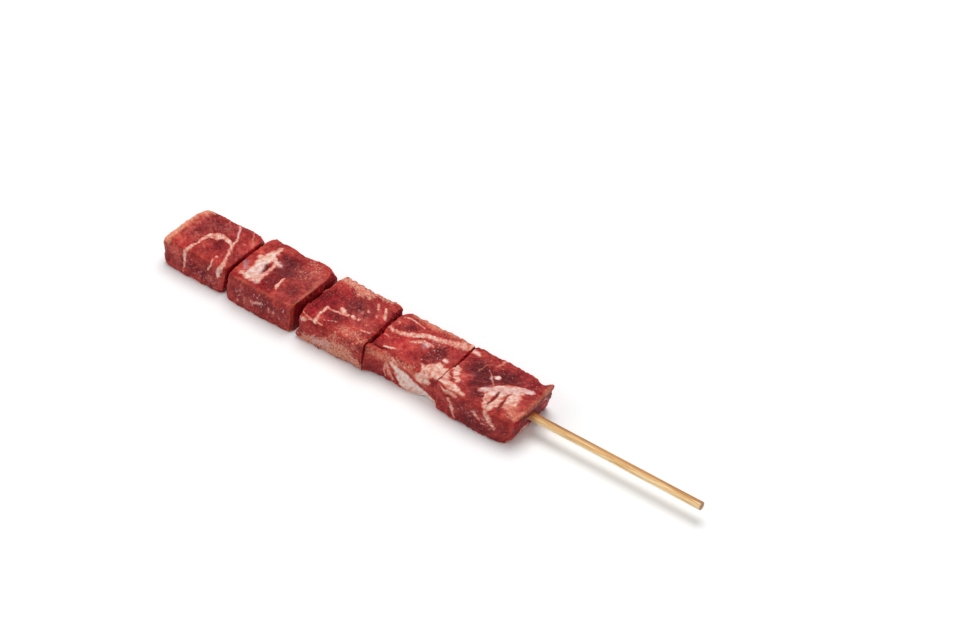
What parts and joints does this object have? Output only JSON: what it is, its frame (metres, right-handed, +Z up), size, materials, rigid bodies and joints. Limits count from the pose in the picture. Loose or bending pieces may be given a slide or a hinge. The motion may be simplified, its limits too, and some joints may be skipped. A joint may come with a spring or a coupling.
{
  "type": "beef kebab skewer",
  "caption": "Raw beef kebab: thick marbled chunks of beef threaded in a row on a round bamboo skewer with a bare handle end, lying on its side.",
  "frame": {"origin": "on the ground, under the middle of the whole kebab's box", "axes": "+X along the skewer from its point to its blunt handle end, +Y from the near side of the meat to its far side, +Z up from the meat's flat underside"},
  "size_m": [0.3, 0.034, 0.0178],
  "materials": {
    "beef": "raw red beef with cream fat and silverskin, moist semi-gloss",
    "bamboo": "split bamboo, smooth, dry and satin, with fine lengthwise fibres"
  },
  "bodies": {
    "root": {"stick": "bamboo", "chunk_1": "beef", "chunk_2": "beef", "chunk_3": "beef", "chunk_4": "beef", "chunk_5": "beef"}
  },
  "joints": []
}
